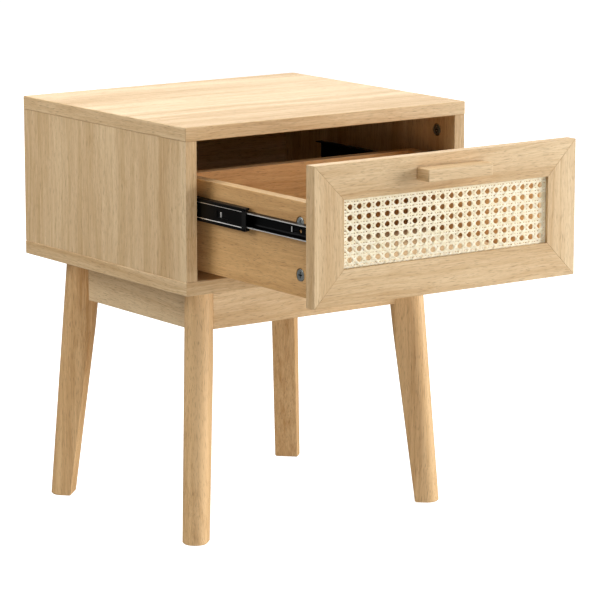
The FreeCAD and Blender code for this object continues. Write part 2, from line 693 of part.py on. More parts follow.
def make_drawer_side(name, side):
    part = body(f"drawer_{name}_side", DRAWER)
    outer, inner = DRAWER_X, f"({DRAWER_X} - drawer_side_thick)"
    low_x = inner if side > 0 else f"-{outer}"
    block(part, ("drawer_side_thick", "drawer_length", "drawer_side_height"),
          (low_x, "0", "drawer_lift"))
    groove_x = inner if side > 0 else f"-({inner} + bottom_groove)"
    block(part, ("bottom_groove", "drawer_length", "bottom_thick + 2*hole_play"),
          (groove_x, "0", "drawer_lift + bottom_raise - hole_play"), cut=True)
    inward = (-side, 0, 0)
    middle = f"{side}*({outer} - drawer_side_thick/2)"
    for z in drawer_cam_heights():
        bore(part, "cam_radius + hole_play", f"{DRAWER_CAM} + hole_play",
             (f"{side}*{outer}", "drawer_cam_set", z), inward)
        bore(part, "cam_bolt_radius + hole_play", "drawer_cam_set",
             (middle, "0", z), (0, 1, 0))
    for y in slide_screw_places():
        bore(part, "screw_radius + hole_play", "screw_grip + board_gap",
             (f"{side}*{outer}", f"slide_set - front_thick + {y}", "slide_height"), inward)
    for z in back_screw_heights():
        at = (f"{side}*{outer}", "drawer_length - drawer_back_thick/2", z)
        bore(part, "screw_radius + hole_play", "drawer_side_thick", at, inward)
        bore(part, "screw_head_radius + hole_play", "screw_head_thick + hole_play",
             at, inward)


def make_drawer_back_and_bottom():
    half = f"({DRAWER_X} - drawer_side_thick)"
    seat = "drawer_lift + bottom_raise + bottom_thick"
    part = body("drawer_back", DRAWER)
    block(part, (f"2*{half}", "drawer_back_thick", f"drawer_lift + drawer_side_height - ({seat})"),
          (f"-{half}", "drawer_length - drawer_back_thick", seat))
    for side in (-1, 1):
        for z in back_screw_heights():
            bore(part, "screw_radius + hole_play", "screw_grip + board_gap",
                 (f"{side}*{half}", "drawer_length - drawer_back_thick/2", z), (-side, 0, 0))
    for x in bottom_screw_places():
        bore(part, "screw_radius + hole_play", "screw_grip + board_gap",
             (x, "drawer_length - drawer_back_thick/2", seat), (0, 0, 1))
    part = body("drawer_bottom", DRAWER)
    reach = f"({half} + bottom_groove - hole_play)"
    block(part, (f"2*{reach}", "drawer_length - board_gap", "bottom_thick"),
          (f"-{reach}", "board_gap", "drawer_lift + bottom_raise"))
    for x in bottom_screw_places():
        at = (x, "drawer_length - drawer_back_thick/2", "drawer_lift + bottom_raise")
        bore(part, "screw_radius + hole_play", "bottom_thick", at, (0, 0, 1))
        bore(part, "screw_head_radius + hole_play", "screw_head_thick + hole_play",
             at, (0, 0, 1))


def bottom_screw_places():
    for side in (-1, 0, 1):
        yield f"{side}*({DRAWER_X} - drawer_side_thick - bottom_screw_end_set)"


def make_handle():
    """A plain bar on the middle of the top rail."""
    part = body("handle", DRAWER)
    bar = block(part, ("handle_length", "handle_reach", "handle_height"),
                ("-handle_length/2", "-front_thick - handle_reach",
                 f"{RAIL_HEIGHT} - handle_height/2"))
    soften(part, bar, "handle_edge")
    for end in (-1, 1):
        bore(part, "screw_radius + hole_play", "handle_screw_grip + board_gap",
             (f"{end}*handle_screw_spread/2", "-front_thick", RAIL_HEIGHT), (0, -1, 0))


def make_drawer_fittings():
    cams, bolts, back_screws, bottom_screws, handle_screws = [], [], [], [], []
    for _, side in SIDES:
        middle = f"{side}*({DRAWER_X} - drawer_side_thick/2)"
        for z in drawer_cam_heights():
            cams.append(cam_lock((f"{side}*{DRAWER_X}", f"{DRAWER_Y} + drawer_cam_set",
                                  f"{FLOOR} + {z}"), (-side, 0, 0), DRAWER_CAM))
            bolts.append(cylinder("cam_bolt_radius",
                                  "cam_bolt_grip + drawer_cam_set - cam_radius",
                                  (middle, f"{DRAWER_Y} - cam_bolt_grip", f"{FLOOR} + {z}"),
                                  (0, 1, 0)))
        for z in back_screw_heights():
            back_screws.append(screw(
                (f"{side}*{DRAWER_X}", f"{DRAWER_Y} + drawer_length - drawer_back_thick/2",
                 f"{FLOOR} + {z}"), (-side, 0, 0), "drawer_side_thick + screw_grip"))
    for x in bottom_screw_places():
        bottom_screws.append(screw(
            (x, f"{DRAWER_Y} + drawer_length - drawer_back_thick/2",
             f"{FLOOR} + drawer_lift + bottom_raise"), (0, 0, 1), "bottom_thick + screw_grip"))
    for end in (-1, 1):
        x, z = f"{end}*handle_screw_spread/2", f"{FLOOR} + {RAIL_HEIGHT}"
        head = cylinder("screw_head_radius", "screw_head_thick", (x, DRAWER_Y, z), (0, 1, 0))
        shank = cylinder("screw_radius", "front_thick + handle_screw_grip",
                         (x, DRAWER_Y, z), (0, -1, 0))
        handle_screws.append(fused([head, shank]))
    group("drawer_cam_locks", cams)
    group("drawer_cam_bolts", bolts)
    group("drawer_back_screws", back_screws)
    group("drawer_bottom_screws", bottom_screws)
    group("handle_screws", handle_screws)


# --- ball-bearing slides -----------------------------------------------------------------


def slide_screw_places():
    """Distances of a slide's screws from its front end."""
    yield "slide_screw_set"
    yield "slide_length/2"
    yield "(slide_length - slide_screw_set)"


def channel(label, side, web_at, opens, reach, half, walls, front, length):
    """A C section: web_at is its web's face, opens is +1 where it opens to the drawer."""
    web, flange = walls
    part = body(label, ("0", f"{front} + {length}", SLIDE_Z))

    def corner(depth, height):
        return f"{side}*({INNER} - ({web_at}) - {opens}*({depth}))", height

    shape = outline(part, "XZ_Plane", (
        corner("0", f"-{half}"), corner(reach, f"-{half}"),
        corner(reach, f"{flange} - {half}"), corner(web, f"{flange} - {half}"),
        corner(web, f"{half} - {flange}"), corner(reach, f"{half} - {flange}"),
        corner(reach, half), corner("0", half)))
    pad(part, shape, length)
    return part


def web_holes(part, side, web_at, toward, places, radius):
    """Round holes through the web, at distances from the front of a slide member."""
    for y in places:
        bore(part, radius, "slide_wall", (f"{side}*({INNER} - ({web_at}))",
                                          f"{y} - slide_length", "0"), (toward, 0, 0))


def make_slide(name, side):
    steel = ("slide_wall", "slide_wall")
    head_hole = "screw_head_radius + hole_play"
    outer = channel(f"{name}_slide_cabinet_member", side, "0", 1, "outer_reach", "outer_half",
                    steel, SLIDE_FRONT, "slide_length")
    web_holes(outer, side, "0", -side, slide_screw_places(), head_hole)
    middle_front = f"({SLIDE_FRONT} + middle_set - drawer_open/2)"
    channel(f"{name}_slide_middle_member", side, "middle_start", 1, "middle_reach",
            "middle_half", steel, middle_front, "(slide_length - middle_set)")
    channel(f"{name}_slide_bumper", side, "middle_start", 1, "middle_reach", "middle_half",
            ("slide_wall", "bumper_wall"), f"({middle_front} - bumper_length)",
            "bumper_length")
    inner = channel(f"{name}_slide_drawer_member", side, "slide_thick", -1, "inner_reach",
                    "inner_half", steel, f"({SLIDE_FRONT} - drawer_open)", "slide_length")
    web_holes(inner, side, "slide_thick", side, slide_screw_places(), head_hole)
    web_holes(inner, side, "slide_thick", side, ("spare_hole_set",), "spare_hole_radius")
    # Each cage runs midway between its two members: a quarter and three quarters of the way.
    ball_cage(f"{name}_slide_outer_balls", side, "(middle_start + outer_reach)/2",
              "(outer_half - slide_wall + middle_half)/2", "drawer_open/4")
    ball_cage(f"{name}_slide_inner_balls", side,
              "(slide_thick - inner_reach + middle_start + middle_reach)/2",
              "(middle_half - slide_wall + inner_half)/2", "3*drawer_open/4")


def ball_cage(label, side, middle, height, shift):
    """Two strips, above and below, each with a row of bearing balls."""
    x = f"{side}*({INNER} - {middle})"
    front = f"({SLIDE_FRONT} + cage_set - {shift})"
    count = int(value("cage_length/ball_pitch"))
    rows = []
    for up in (-1, 1):
        z = f"{SLIDE_Z} + {up}*{height}"
        pieces = [box(("cage_reach", "cage_length", "cage_thick"),
                      (f"{x} - cage_reach/2", front, f"{z} - cage_thick/2"))]
        for i in range(count):
            ball = document.addObject("Part::Sphere", "Ball")
            ball.setExpression("Radius", formula("ball_radius"))
            place(ball, (x, f"{front} + (cage_length - {count - 1}*ball_pitch)/2"
                            f" + {i}*ball_pitch", z))
            pieces.append(ball)
        rows.append(fused(pieces))
    group(label, rows)


def make_slide_screws():
    cabinet_screws, drawer_screws = [], []
    for _, side in SIDES:
        for y in slide_screw_places():
            cabinet_screws.append(screw((f"{side}*({INNER} - slide_wall)",
                                         f"{SLIDE_FRONT} + {y}", SLIDE_Z), (side, 0, 0),
                                        "slide_wall + screw_grip", "slide_wall"))
            drawer_screws.append(screw((f"{side}*({DRAWER_X} + slide_wall)",
                                        f"{SLIDE_FRONT} - drawer_open + {y}", SLIDE_Z),
                                       (-side, 0, 0), "slide_wall + screw_grip",
                                       "slide_wall"))
    group("slide_cabinet_screws", cabinet_screws)
    group("slide_drawer_screws", drawer_screws)


def build():
    fill_sheet()
    make_cross_panel("top_panel", f"{FLOOR} + side_height", -1)
    make_bottom_panel()
    for name, side in SIDES:
        make_side_panel(name, side)
    make_back_panel()
    make_back_pins()
    make_cabinet_fittings()
    for name, side_x, side_y, turn in LEG_CORNERS:
        make_leg(name, side_x, side_y, turn)
        make_brace(name, side_x, side_y, turn)
    make_aprons()
    make_leg_fittings()
    make_front_frame()
    make_cane()
    for name, side in SIDES:
        make_drawer_side(name, side)
    make_drawer_back_and_bottom()
    make_handle()
    make_drawer_fittings()
    for name, side in SIDES:
        make_slide(name, side)
    make_slide_screws()
    document.recompute()


def write_nodes():
    """Check every object and every sub-part's solid, then write one file per sub-part."""
    failed = [o.Name for o in document.Objects if {"Invalid", "Error"} & set(o.State)]
    if failed:
        raise RuntimeError(f"objects that did not compute: {failed}")
    for node in nodes:
        if node.Shape.isNull() or not node.Shape.isValid():
            raise RuntimeError(f"{node.Label} has no valid shape")
    os.makedirs("parts", exist_ok=True)
    for node in nodes:
        node.Shape.exportStep(f"parts/{node.Label}.step")
        print(node.Label, len(node.Shape.Solids), round(node.Shape.Volume))


build()
write_nodes()
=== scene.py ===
import json
import math
import random

import bmesh
import bpy
from mathutils import Matrix, Vector


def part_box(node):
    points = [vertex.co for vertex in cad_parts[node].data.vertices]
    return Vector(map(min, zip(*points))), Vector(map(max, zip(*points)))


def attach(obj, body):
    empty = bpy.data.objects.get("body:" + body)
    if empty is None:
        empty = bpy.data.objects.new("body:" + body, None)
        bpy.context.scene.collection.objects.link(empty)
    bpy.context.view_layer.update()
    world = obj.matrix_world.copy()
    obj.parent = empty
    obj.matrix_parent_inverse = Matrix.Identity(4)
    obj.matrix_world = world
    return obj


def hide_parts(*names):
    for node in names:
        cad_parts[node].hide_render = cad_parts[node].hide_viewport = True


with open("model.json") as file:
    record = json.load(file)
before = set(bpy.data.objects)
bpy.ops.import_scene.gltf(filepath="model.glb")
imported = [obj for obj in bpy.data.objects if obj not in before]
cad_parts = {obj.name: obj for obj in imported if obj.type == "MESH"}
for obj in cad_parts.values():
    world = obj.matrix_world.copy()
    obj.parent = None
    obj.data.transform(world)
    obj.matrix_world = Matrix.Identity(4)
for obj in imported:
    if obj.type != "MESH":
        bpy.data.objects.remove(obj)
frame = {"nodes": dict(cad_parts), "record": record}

bl_info = {
    "name": "Cane-front nightstand",
    "version": (1, 0, 0),
    "blender": (4, 5, 0),
    "location": "3D View > Sidebar > Nightstand",
    "description": "Makes the finished surfaces of a small oak nightstand with a cane drawer",
    "category": "Object",
}

MM = 0.001
AXES = "xyz"
NODES = frame["nodes"]
BEHAVIOUR = frame["record"]["behaviour"]
BODY_OF = {node: body for body, nodes in BEHAVIOUR["bodies"].items() for node in nodes}
SLOT_OF = {part["node"]: part["material_slot"] for part in frame["record"]["subparts"]}
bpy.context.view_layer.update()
GRAIN_MAP = "grain"

# The oak's figure. Knots stand about these distances in mm apart along and across the grain,
# and the veneer's leaves are about STAVE mm wide. A knot's core and the swell of the grain round
# it are shares of those distances. The wander and the ripple bend the grain by up to so much.
KNOT_GAPS = (420, 240, 240)
KNOT_CORE, KNOT_SWELL, KNOT_PUSH = 0.045, 0.22, 16 * MM
STAVE = 42
WANDER_SCALE, WANDER = (4, 12, 12), (0, 22 * MM, 22 * MM)
RIPPLE_SCALE, RIPPLE = (26, 60, 60), (0, 3.5 * MM, 3.5 * MM)

# Each board's node, the axis that its face grain follows and the rounding of its edges in mm.
CABINET_BOARDS = (
    ("top_panel", "x", 0),
    ("bottom_panel", "x", 0),
    ("left_side_panel", "z", 0.5),
    ("right_side_panel", "z", 0.5),
    ("back_panel", "x", 0.3),
)
APRON_BOARDS = (
    ("front_apron", "x", 0),
    ("back_apron", "x", 0),
    ("left_apron", "y", 0),
    ("right_apron", "y", 0),
)
FRONT_BOARDS = (
    ("drawer_front_top_rail", "x", 0.4),
    ("drawer_front_bottom_rail", "x", 0.4),
    ("drawer_front_left_stile", "z", 0.4),
    ("drawer_front_right_stile", "z", 0.4),
    ("cane_retainer_strips", "x", 0.3),
)
DRAWER_BOARDS = (
    ("drawer_left_side", "y", 0.6),
    ("drawer_right_side", "y", 0.6),
    ("drawer_back", "x", 0.6),
)
CORNERS = ("front_left", "front_right", "back_right", "back_left")
SIDES = ("left", "right")


def linear(code):
    """A colour written as sRGB hex, in the linear light that Blender works in."""
    parts = [int(code[i:i + 2], 16) / 255 for i in (1, 3, 5)]
    return tuple(c / 12.92 if c <= 0.04045 else ((c + 0.055) / 1.055) ** 2.4 for c in parts)


class OakSettings(bpy.types.PropertyGroup):
    light: bpy.props.FloatVectorProperty(
        name="Light wood", description="Earlywood between the growth rings",
        subtype="COLOR", size=3, min=0, max=1, default=linear("#E6CA9F"))
    dark: bpy.props.FloatVectorProperty(
        name="Dark wood", description="Latewood of the growth rings",
        subtype="COLOR", size=3, min=0, max=1, default=linear("#BC9562"))
    pore: bpy.props.FloatVectorProperty(
        name="Pores", description="Open pores that hold a little dust and shade",
        subtype="COLOR", size=3, min=0, max=1, default=linear("#7E5830"))


class CaneSettings(bpy.types.PropertyGroup):
    colour: bpy.props.FloatVectorProperty(
        name="Cane", description="Split and peeled rattan, bleached",
        subtype="COLOR", size=3, min=0, max=1, default=linear("#FFF6DC"))
    pitch_across: bpy.props.FloatProperty(
        name="Pitch across", description="Distance between columns of holes",
        unit="LENGTH", default=12.7 * MM)
    pitch_up: bpy.props.FloatProperty(
        name="Pitch up", description="Distance between rows of holes",
        unit="LENGTH", default=11.6 * MM)
    strand: bpy.props.FloatProperty(
        name="Strand", description="Width of one strand", unit="LENGTH", default=2.3 * MM)


class StageSettings(bpy.types.PropertyGroup):
    lens: bpy.props.FloatProperty(
        name="Lens", description="Focal length on a 36 mm sensor",
        unit="CAMERA", default=192.1)
    right_power: bpy.props.FloatProperty(
        name="Right light", description="Power of the large light at the front right",
        subtype="POWER", default=84)
    low_power: bpy.props.FloatProperty(
        name="Low light", description="Power of the low light in front, for the legs",
        subtype="POWER", default=24)
    bounce_power: bpy.props.FloatProperty(
        name="Bounce", description="Power of the light that the pale floor would send up",
        subtype="POWER", default=12)
    top_power: bpy.props.FloatProperty(
        name="Top light", description="Power of the overhead light", subtype="POWER", default=41)
    left_power: bpy.props.FloatProperty(
        name="Left light", description="Power of the light at the back left",
        subtype="POWER", default=33)
    back_power: bpy.props.FloatProperty(
        name="Backdrop", description="Power of the glow behind, which puts a sheen on the top",
        subtype="POWER", default=36)
    ambient: bpy.props.FloatProperty(
        name="Ambient", description="Strength of the even light all round", default=0.12)


def add(tree, kind, inputs=None, **settings):
    """Add one shader node, with its own settings and its inputs' values or links."""
    made = tree.nodes.new(f"ShaderNode{kind}")
    for name, value in settings.items():
        setattr(made, name, value)
    for name, value in (inputs or {}).items():
        if isinstance(value, bpy.types.NodeSocket):
            tree.links.new(value, made.inputs[name])
        else:
            made.inputs[name].default_value = value
    return made


def new_material(name):
    """A new, empty material and its tree."""
    made = bpy.data.materials.new(name)
    made.use_nodes = True
    made.node_tree.nodes.clear()
    return made, made.node_tree


def surface(tree, inputs):
    """The Principled shader at the end of a tree, and the tree's output."""
    shader = add(tree, "BsdfPrincipled", inputs)
    add(tree, "OutputMaterial", {"Surface": shader.outputs["BSDF"]})


def streaks(tree, vector, length, width, detail=2.0, low=0.35, high=0.65):
    """Soft streaks of a length and width in mm, along X of the vector, from 0 to 1."""
    scaled = add(tree, "Mapping", {
        "Vector": vector, "Scale": (1000 / length, 1000 / width, 1000 / width)})
    noise = add(tree, "TexNoise", {
        "Vector": scaled.outputs["Vector"], "Scale": 1.0, "Detail": detail, "Roughness": 0.55})
    spread = add(tree, "MapRange", {
        "Value": noise.outputs["Fac"], "From Min": low, "From Max": high})
    return spread.outputs["Result"]


def blended(tree, factor, first, second):
    """A colour between two, as the factor goes from 0 to 1."""
    mix = add(tree, "Mix", {0: factor, 6: first, 7: second}, data_type="RGBA")
    return mix.outputs[2]


def weighed(tree, *terms):
    """The sum of values, each times its weight."""
    total = 0.0
    for value, weight in terms:
        total = add(tree, "Math", {0: value, 1: weight, 2: total},
                    operation="MULTIPLY_ADD").outputs["Value"]
    return total


def make_oak(name):
    """Matte lacquered oak: broad bands of light and dark wood, finer rings in them, and short
    open pores. The pores of real oak are 0.3 mm wide; here they are 0.7 mm, to show."""
    vector_of, tint, contrast = WOODS[name]
    oak = bpy.context.scene.nightstand_oak

    def stained(colour):
        return (*(part * share for part, share in zip(colour, tint)), 1)

    made, tree = new_material(name)
    vector = vector_of(tree)
    spread = add(tree, "Mapping", {
        "Vector": vector, "Scale": [1000 / gap for gap in KNOT_GAPS]}).outputs["Vector"]
    from_knot = add(tree, "TexVoronoi", {"Vector": spread, "Scale": 1.0}).outputs["Distance"]
    knot = add(tree, "MapRange", {
        "Value": from_knot, "From Min": 0.0, "From Max": KNOT_CORE, "To Min": 1.0,
        "To Max": 0.0}, interpolation_type="SMOOTHSTEP").outputs["Result"]
    swell = add(tree, "MapRange", {
        "Value": from_knot, "From Min": 0.0, "From Max": KNOT_SWELL, "To Min": 1.0,
        "To Max": 0.0}, interpolation_type="SMOOTHERSTEP").outputs["Result"]
    paths = [vector]
    for scale, reach in ((WANDER_SCALE, WANDER), (RIPPLE_SCALE, RIPPLE)):
        place = add(tree, "Mapping", {"Vector": vector, "Scale": scale}).outputs["Vector"]
        noise = add(tree, "TexNoise", {"Vector": place, "Scale": 1.0, "Detail": 1.0})
        paths.append(add(tree, "VectorMath", {
            0: noise.outputs["Color"], 1: reach, 2: paths[-1]},
            operation="MULTIPLY_ADD").outputs["Vector"])
    bent, rippled = paths[1:]
    push = add(tree, "CombineXYZ", {"Y": weighed(tree, (swell, KNOT_PUSH))}).outputs["Vector"]
    grain = add(tree, "VectorMath", {0: rippled, 1: push}).outputs["Vector"]
    across = add(tree, "SeparateXYZ", {"Vector": bent}).outputs["Y"]
    stave = add(tree, "TexVoronoi", {"W": across, "Scale": 1000 / STAVE}, voronoi_dimensions="1D")
    tone = add(tree, "SeparateColor", {"Color": stave.outputs["Color"]}).outputs["Red"]
    bands = streaks(tree, grain, 700, 40, 1.0)
    rings = streaks(tree, grain, 240, 5, 2.0)
    fibre = streaks(tree, rippled, 60, 1.5, 3.0, 0.3, 0.7)
    pores = streaks(tree, rippled, 11, 0.7, 1.0, 0.56, 0.74)
    mixed = weighed(tree, (bands, 0.34), (rings, 0.20), (fibre, 0.28), (tone, 0.18))
    shade = add(tree, "MapRange", {
        "Value": mixed, "From Min": 0.56 - 0.5 / contrast,
        "From Max": 0.56 + 0.5 / contrast}).outputs["Result"]
    wood = blended(tree, shade, stained(oak.light), stained(oak.dark))
    dotted = blended(tree, weighed(tree, (pores, 0.5)), wood, stained(oak.pore))
    knotted = blended(tree, weighed(tree, (knot, 0.75)), dotted, stained(oak.pore))
    rough = add(tree, "MapRange", {"Value": shade, "To Min": 0.58, "To Max": 0.68})
    relief = add(tree, "Bump", {
        "Height": weighed(tree, (pores, -1.0), (fibre, 0.25)),
        "Strength": 0.35, "Distance": 0.12 * MM})
    surface(tree, {
        "Base Color": knotted, "Roughness": rough.outputs["Result"], "IOR": 1.5,
        "Normal": relief.outputs["Normal"]})
    return made


def veneer_vector(tree):
    """Along and across the grain of each face, in metres, from the board's own map."""
    return add(tree, "UVMap", uv_map=GRAIN_MAP).outputs["UV"]


def upright_vector(tree):
    """Solid wood that stands: X of the pattern runs up the piece."""
    place = add(tree, "TexCoord").outputs["Object"]
    return add(tree, "Mapping", {
        "Vector": place, "Rotation": (0, math.pi / 2, 0)}).outputs["Vector"]


def make_coat(name):
    """Smooth metal, plating or plastic: its shade and gloss drift a little over about a
    centimetre, and fine grit breaks up its reflections."""
    code, roughness, metallic, specular = COATS[name]
    made, tree = new_material(name)
    place = add(tree, "TexCoord").outputs["Object"]
    uneven = add(tree, "TexNoise", {"Vector": place, "Scale": 1000 / GRIT, "Detail": 2.0})
    broad = add(tree, "TexNoise", {"Vector": place, "Scale": 1000 / DRIFT, "Detail": 2.0})
    colour = linear(code)
    worn = blended(tree, broad.outputs["Fac"], (*(0.85 * c for c in colour), 1),
                   (*(1.15 * c for c in colour), 1))
    rough = add(tree, "MapRange", {
        "Value": broad.outputs["Fac"], "To Min": roughness - 0.05, "To Max": roughness + 0.05})
    relief = add(tree, "Bump", {
        "Height": uneven.outputs["Fac"], "Strength": 0.12, "Distance": 0.01 * MM})
    surface(tree, {
        "Base Color": worn, "Metallic": metallic, "Roughness": rough.outputs["Result"],
        "Specular IOR Level": specular, "Normal": relief.outputs["Normal"]})
    return made


def make_cane_finish():
    """Bleached rattan peel: a smooth, slightly shiny skin with fine lines along the strand,
    and each strand a little lighter or darker than the next."""
    cane = bpy.context.scene.nightstand_cane
    made, tree = new_material("rattan_peel")
    strand = add(tree, "NewGeometry").outputs["Random Per Island"]
    place = add(tree, "UVMap", uv_map=GRAIN_MAP).outputs["UV"]
    lines = streaks(tree, place, 20, 0.4, 2.0)
    shade = weighed(tree, (strand, 0.6), (lines, 0.4))
    light = (*cane.colour, 1)
    dark = (*(c * k for c, k in zip(cane.colour, (0.88, 0.82, 0.68))), 1)
    relief = add(tree, "Bump", {"Height": lines, "Strength": 0.2, "Distance": 0.05 * MM})
    surface(tree, {
        "Base Color": blended(tree, shade, light, dark), "Roughness": 0.42, "IOR": 1.5,
        "Normal": relief.outputs["Normal"], "Subsurface Weight": 0.08,
        "Subsurface Radius": (0.002, 0.0015, 0.0008), "Subsurface Scale": 1.0})
    return made


# Grit and the drift of shade, in mm.
GRIT = 0.25
DRIFT = 12

# Each one's colour, roughness, metallic share and specular level.
COATS = {
    # Rolled steel with black zinc plating: near black, with a faint, soft sheen.
    "black_zinc_steel": ("#030303", 0.36, 0.0, 0.10),
    # Painted highlight: near-white steel for the thin bright lines along the slides.
    "bare_steel_edge": ("#F2F0EC", 0.45, 1.0, 0.5),
    # Painted shade in the bottom of a pressed cross: a dark, dull mark in the disc.
    "driver_recess": ("#1C1D1B", 0.7, 0.0, 0.1),
    # Moulded nylon: black, with a slightly stronger sheen than the plating.
    "black_nylon": ("#060606", 0.42, 0.0, 0.2),
    # Ground and polished steel: mirror-bright balls.
    "polished_bearing_steel": ("#C8C8CA", 0.12, 1.0, 0.5),
    # Die-cast zinc: pale grey metal with a blurred shine.
    "zinc_die_casting": ("#BFC4C0", 0.34, 1.0, 0.5),
    # Clear zinc plating: cooler and sharper than the castings.
    "zinc_plated_screw": ("#B4B6B2", 0.3, 1.0, 0.5),
}

# Each wood's pattern, its tint over the oak's colours, and its contrast.
WOODS = {
    # Sliced oak veneer: pale, even boards.
    "oak_veneer": (veneer_vector, (1.0, 1.0, 1.0), 1.35),
    # Painted shade on the drawer's sides and back: the same figure in a darker, warmer brown.
    "drawer_foil": (veneer_vector, (0.90, 0.72, 0.49), 1.35),
    # Turned and sawn solid oak: warmer than the veneer, with stronger figure.
    "solid_oak": (upright_vector, (0.97, 0.85, 0.70), 1.9),
}
FINISH_OF_SLOT = {
    "oak": "oak_veneer",
    "plywood": "oak_veneer",
    "dowel_beech": "solid_oak",
    "cane": "rattan_peel",
    "black_steel": "black_zinc_steel",
    "black_plastic": "black_nylon",
    "bearing_steel": "polished_bearing_steel",
    "zinc_alloy": "zinc_die_casting",
    "zinc_plated_steel": "zinc_plated_screw",
}


def finish(name):
    """The material of a name, made the first time that it is asked for."""
    if name in bpy.data.materials:
        return bpy.data.materials[name]
    if name in WOODS:
        return make_oak(name)
    return make_coat(name) if name in COATS else make_cane_finish()


def copied(node):
    """A merged copy of a frame node's mesh, with its flat faces whole again."""
    bm = bmesh.new()
    bm.from_mesh(NODES[node].data)
    bmesh.ops.remove_doubles(bm, verts=bm.verts, dist=0.002 * MM)
    bmesh.ops.dissolve_limit(
        bm, angle_limit=math.radians(0.2), use_dissolve_boundaries=False,
        verts=bm.verts, edges=bm.edges, delimit={"NORMAL"})
    return bm


def ease_edges(bm, width, shortest=8 * MM):
    """Round the long sharp edges, as sanding does; drilled holes stay sharp."""
    sharp = [edge for edge in bm.edges
             if len(edge.link_faces) == 2 and edge.calc_face_angle() > math.radians(40)
             and edge.calc_length() > shortest]
    bmesh.ops.bevel(bm, geom=sharp, offset=width, offset_type="OFFSET", segments=2,
                    profile=0.5, affect="EDGES", material=-1, clamp_overlap=True)


def lay_grain(bm, grain, name):
    """Map every face so that U runs along the grain. End faces are edge-banded, so there the
    grain runs along the longer side. The name sets where in the pattern the board is cut."""
    layer = bm.loops.layers.uv.new(GRAIN_MAP)
    chance = random.Random(name)
    start = [chance.uniform(0, 40) for _ in range(6)]
    spans = [max(v.co[i] for v in bm.verts) - min(v.co[i] for v in bm.verts) for i in range(3)]
    for face in bm.faces:
        facing = max(range(3), key=lambda i: abs(face.normal[i]))
        free = [i for i in range(3) if i != facing]
        along = AXES.index(grain)
        if along == facing:
            along = max(free, key=lambda i: spans[i])
        across = free[0] if free[1] == along else free[1]
        for loop in face.loops:
            loop[layer].uv = (loop.vert.co[along] + start[facing],
                              loop.vert.co[across] + start[facing + 3])


def finished(name, bm, material, node, smooth=math.radians(35)):
    """Turn a bmesh into a piece that stands for a node and rides on the node's body."""
    mesh = bpy.data.meshes.new(name)
    bm.to_mesh(mesh)
    bm.free()
    mesh.shade_smooth()
    mesh.set_sharp_from_angle(angle=smooth)
    piece = bpy.data.objects.new(name, mesh)
    bpy.context.scene.collection.objects.link(piece)
    mesh.materials.append(finish(material))
    even = piece.modifiers.new("Even shading", "WEIGHTED_NORMAL")
    even.keep_sharp = True
    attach(piece, BODY_OF[node])
    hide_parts(node)
    return piece


def make_boards(boards):
    """Veneered boards with their edges eased and their grain laid."""
    for node, grain, easing in boards:
        bm = copied(node)
        if easing:
            ease_edges(bm, easing * MM)
        lay_grain(bm, grain, node)
        finished(f"{node}_board", bm, "oak_veneer", node)


def dress(nodes):
    """Give frame nodes that keep their own shape the finish of their slot."""
    for node in nodes:
        piece = NODES[node]
        piece.data.materials.clear()
        piece.data.materials.append(finish(FINISH_OF_SLOT[SLOT_OF[node]]))


class CabinetBoards(bpy.types.Operator):
    """Top, bottom, sides and back of the cabinet"""
    bl_idname = "nightstand.cabinet_boards"
    bl_label = "Cabinet boards"

    def execute(self, context):
        make_boards(CABINET_BOARDS)
        return {"FINISHED"}


class Aprons(bpy.types.Operator):
    """The four boards between the legs"""
    bl_idname = "nightstand.aprons"
    bl_label = "Aprons"

    def execute(self, context):
        make_boards(APRON_BOARDS)
        return {"FINISHED"}


class Legs(bpy.types.Operator):
    """Solid oak legs, round outside and flat inside, and the braces behind them"""
    bl_idname = "nightstand.legs"
    bl_label = "Legs and braces"

    def execute(self, context):
        for corner in CORNERS:
            for kind in ("leg", "brace"):
                node = f"{corner}_{kind}"
                finished(f"{node}_wood", copied(node), "solid_oak", node)
        return {"FINISHED"}


class DrawerFront(bpy.types.Operator):
    """The mitred frame of the drawer front and the strips that hold the cane"""
    bl_idname = "nightstand.drawer_front"
    bl_label = "Drawer front"

    def execute(self, context):
        make_boards(FRONT_BOARDS)
        return {"FINISHED"}


class DrawerBox(bpy.types.Operator):
    """Sides, back and bottom of the drawer; the sides and back carry painted shade, a darker copy
    of the oak, and their top edges a paler band of painted light
    """
    bl_idname = "nightstand.drawer_box"
    bl_label = "Drawer box"

    def execute(self, context):
        make_boards((("drawer_bottom", "x", 0.3),))
        for node, grain, easing in DRAWER_BOARDS:
            bm = copied(node)
            ease_edges(bm, easing * MM)
            lay_grain(bm, grain, node)
            # Painted light and shade: faces that look up keep the paler oak, all other faces take
            # the darker copy.
            for face in bm.faces:
                face.material_index = int(face.normal.z > 0.5)
            piece = finished(f"{node}_board", bm, "drawer_foil", node)
            piece.data.materials.append(finish("oak_veneer"))
        return {"FINISHED"}


class Handle(bpy.types.Operator):
    """The wooden bar that pulls the drawer"""
    bl_idname = "nightstand.handle"
    bl_label = "Handle"

    def execute(self, context):
        make_boards((("handle", "x", 0),))
        return {"FINISHED"}


